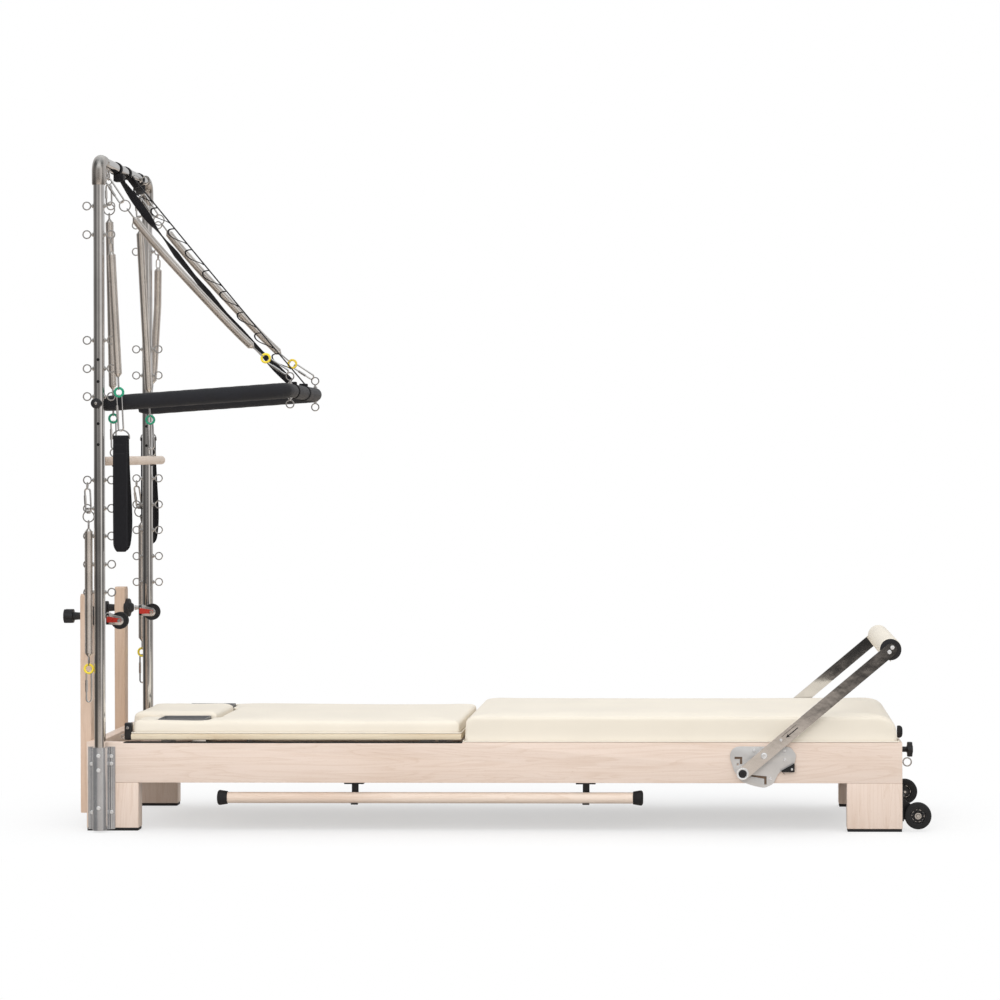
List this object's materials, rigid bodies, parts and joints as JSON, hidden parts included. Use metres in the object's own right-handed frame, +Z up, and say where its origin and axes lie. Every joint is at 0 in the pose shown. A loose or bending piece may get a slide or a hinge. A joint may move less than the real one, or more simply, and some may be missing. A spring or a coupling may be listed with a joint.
{
  "type": "pilates reformer with half tower",
  "caption": "Wooden pilates reformer with rolling padded carriage, tilting footbar, mat insert and a steel half tower with springs, straps and push-through bar.",
  "frame": {"origin": "on the floor under the middle of the machine's overall box", "axes": "+X to the foot end, +Y to the far side away from the exercise pole, +Z up"},
  "size_m": [2.592, 0.833, 2.0116],
  "materials": {
    "maple": "clear satin lacquer on pale maple",
    "cream_vinyl": "matte cream upholstery vinyl with a fine grain",
    "polished_steel": "polished stainless steel",
    "spring_steel": "bright nickel-plated spring wire",
    "satin_aluminium": "satin anodised extrusion",
    "black_rubber": "matte black rubber",
    "black_plastic": "moulded black plastic",
    "black_webbing": "woven black webbing",
    "grey_grip": "ribbed dark grey foam grip",
    "red_paint": "red lacquer",
    "green_plastic": "green coding ring",
    "yellow_plastic": "yellow coding ring"
  },
  "bodies": {
    "frame": {"rail_near": "maple", "rail_far": "maple", "track_near": "satin_aluminium", "track_far": "satin_aluminium", "head_board": "maple", "foot_board": "maple", "leg_head_near": "maple", "leg_head_far": "maple", "leg_foot_near": "maple", "leg_foot_far": "maple", "spring_bar": "satin_aluminium", "corner_bracket_near": "satin_aluminium", "corner_bracket_far": "satin_aluminium", "tower_post_near": "polished_steel", "tower_post_far": "polished_steel", "tower_crossbar": "polished_steel", "riser_near": "maple", "riser_far": "maple", "footbar_plate_near": "satin_aluminium", "footbar_plate_far": "satin_aluminium", "wheel_bracket_near": "black_plastic", "wheel_bracket_far": "black_plastic", "pole_hook_head": "black_plastic", "pole_hook_foot": "black_plastic", "bar_spring_near": "spring_steel", "bar_spring_far": "spring_steel", "safety_strap_near": "black_webbing", "safety_strap_centre": "black_webbing"},
    "carriage": {"carriage_board": "maple", "carriage_cushion": "cream_vinyl", "carriage_springs": "spring_steel"},
    "headrest": {"headrest": "cream_vinyl"},
    "mat": {"mat_cushion": "cream_vinyl"},
    "footbar": {"footbar_arm_near": "polished_steel", "footbar_arm_far": "polished_steel", "footbar_roller": "cream_vinyl"},
    "push_through_bar": {"push_through_bar": "grey_grip"},
    "roll_down": {"arm_spring_inner_near": "spring_steel", "arm_spring_inner_far": "spring_steel", "roll_down_bar": "maple"},
    "foot_knob": {"foot_knob": "black_plastic"},
    "exercise_pole": {"exercise_pole": "maple"},
    "arm_strap_near": {"arm_spring_outer_near": "spring_steel", "hand_strap_near": "black_webbing"},
    "leg_spring_near": {"leg_spring_near": "spring_steel"},
    "pulley_housing_near": {"pulley_housing_near": "red_paint"},
    "pulley_wheel_near": {"pulley_wheel_near": "black_plastic"},
    "riser_knob_near": {"riser_knob_near": "black_plastic"},
    "transport_wheel_near": {"transport_wheel_near": "black_rubber"},
    "carriage_wheel_head_near": {"carriage_wheel_head_near": "black_plastic"},
    "carriage_wheel_foot_near": {"carriage_wheel_foot_near": "black_plastic"},
    "arm_strap_far": {"arm_spring_outer_far": "spring_steel", "hand_strap_far": "black_webbing"},
    "leg_spring_far": {"leg_spring_far": "spring_steel"},
    "pulley_housing_far": {"pulley_housing_far": "red_paint"},
    "pulley_wheel_far": {"pulley_wheel_far": "black_plastic"},
    "riser_knob_far": {"riser_knob_far": "black_plastic"},
    "transport_wheel_far": {"transport_wheel_far": "black_rubber"},
    "carriage_wheel_head_far": {"carriage_wheel_head_far": "black_plastic"},
    "carriage_wheel_foot_far": {"carriage_wheel_foot_far": "black_plastic"}
  },
  "joints": [
    {"name": "carriage_slide", "type": "slide", "parent": "frame", "child": "carriage", "axis": [1, 0, 0], "range_m": [0, 0.55]},
    {"name": "mat_slide", "type": "slide", "parent": "frame", "child": "mat", "axis": [1, 0, 0], "range_m": [0, 0.55]},
    {"name": "headrest_tilt", "type": "hinge", "parent": "carriage", "child": "headrest", "pos_m": [-0.8445, 0, 0.331], "axis": [0, 1, 0], "range_deg": [0, 40]},
    {"name": "footbar_tilt", "type": "hinge", "parent": "frame", "child": "footbar", "pos_m": [0.74, 0, 0.1736], "axis": [0, -1, 0], "range_deg": [-15, 60]},
    {"name": "push_through_bar_swing", "type": "hinge", "parent": "frame", "child": "push_through_bar", "pos_m": [-1.1644, 0, 1.27], "axis": [0, -1, 0], "range_deg": [-10, 60], "deforming": ["bar_spring_near", "bar_spring_far", "safety_strap_near", "safety_strap_centre"]},
    {"name": "roll_down_swing", "type": "hinge", "parent": "frame", "child": "roll_down", "pos_m": [-1.1644, 0, 1.947], "axis": [0, -1, 0], "range_deg": [-10, 20]},
    {"name": "foot_knob_turn", "type": "hinge", "parent": "frame", "child": "foot_knob", "pos_m": [1.21, 0, 0.21], "axis": [1, 0, 0], "continuous": true},
    {"name": "exercise_pole_slide", "type": "slide", "parent": "frame", "child": "exercise_pole", "axis": [0, -0.8192, 0.5736], "range_m": [0, 0.12]},
    {"name": "arm_strap_swing_near", "type": "hinge", "parent": "frame", "child": "arm_strap_near", "pos_m": [-1.1284, -0.365, 1.772], "axis": [0, -1, 0], "range_deg": [0, 25]},
    {"name": "leg_spring_swing_near", "type": "hinge", "parent": "frame", "child": "leg_spring_near", "pos_m": [-1.2004, -0.365, 1.043], "axis": [0, 1, 0], "range_deg": [0, 15]},
    {"name": "pulley_swivel_near", "type": "hinge", "parent": "frame", "child": "pulley_housing_near", "pos_m": [-1.128, -0.2485, 0.6335], "axis": [1, 0, 0], "range_deg": [-60, 60]},
    {"name": "pulley_spin_near", "type": "hinge", "parent": "pulley_housing_near", "child": "pulley_wheel_near", "pos_m": [-1.128, -0.2485, 0.62], "axis": [0, 1, 0], "continuous": true},
    {"name": "riser_knob_turn_near", "type": "hinge", "parent": "frame", "child": "riser_knob_near", "pos_m": [-1.243, -0.2485, 0.6335], "axis": [1, 0, 0], "continuous": true},
    {"name": "transport_wheel_spin_near", "type": "hinge", "parent": "frame", "child": "transport_wheel_near", "pos_m": [1.2565, -0.3188, 0.0455], "axis": [0, 1, 0], "continuous": true},
    {"name": "carriage_wheel_spin_head_near", "type": "hinge", "parent": "carriage", "child": "carriage_wheel_head_near", "pos_m": [-0.98, -0.28, 0.2198], "axis": [0, 1, 0], "range_deg": [0, 1220]},
    {"name": "carriage_wheel_spin_foot_near", "type": "hinge", "parent": "carriage", "child": "carriage_wheel_foot_near", "pos_m": [-0.2, -0.28, 0.2198], "axis": [0, 1, 0], "range_deg": [0, 1220]},
    {"name": "arm_strap_swing_far", "type": "hinge", "parent": "frame", "child": "arm_strap_far", "pos_m": [-1.1284, 0.365, 1.772], "axis": [0, -1, 0], "range_deg": [0, 25]},
    {"name": "leg_spring_swing_far", "type": "hinge", "parent": "frame", "child": "leg_spring_far", "pos_m": [-1.2004, 0.365, 1.043], "axis": [0, 1, 0], "range_deg": [0, 15]},
    {"name": "pulley_swivel_far", "type": "hinge", "parent": "frame", "child": "pulley_housing_far", "pos_m": [-1.128, 0.2485, 0.6335], "axis": [1, 0, 0], "range_deg": [-60, 60]},
    {"name": "pulley_spin_far", "type": "hinge", "parent": "pulley_housing_far", "child": "pulley_wheel_far", "pos_m": [-1.128, 0.2485, 0.62], "axis": [0, 1, 0], "continuous": true},
    {"name": "riser_knob_turn_far", "type": "hinge", "parent": "frame", "child": "riser_knob_far", "pos_m": [-1.243, 0.2485, 0.6335], "axis": [1, 0, 0], "continuous": true},
    {"name": "transport_wheel_spin_far", "type": "hinge", "parent": "frame", "child": "transport_wheel_far", "pos_m": [1.2565, 0.3188, 0.0455], "axis": [0, 1, 0], "continuous": true},
    {"name": "carriage_wheel_spin_head_far", "type": "hinge", "parent": "carriage", "child": "carriage_wheel_head_far", "pos_m": [-0.98, 0.28, 0.2198], "axis": [0, 1, 0], "range_deg": [0, 1220]},
    {"name": "carriage_wheel_spin_foot_far", "type": "hinge", "parent": "carriage", "child": "carriage_wheel_foot_far", "pos_m": [-0.2, 0.28, 0.2198], "axis": [0, 1, 0], "range_deg": [0, 1220]}
  ],
  "couplings": [
    {"joint": "mat_slide", "follows": "carriage_slide", "ratio": 1},
    {"joint": "carriage_wheel_spin_head_near", "follows": "carriage_slide", "rad_per_m": 38.462},
    {"joint": "carriage_wheel_spin_foot_near", "follows": "carriage_slide", "rad_per_m": 38.462},
    {"joint": "carriage_wheel_spin_head_far", "follows": "carriage_slide", "rad_per_m": 38.462},
    {"joint": "carriage_wheel_spin_foot_far", "follows": "carriage_slide", "rad_per_m": 38.462}
  ]
}
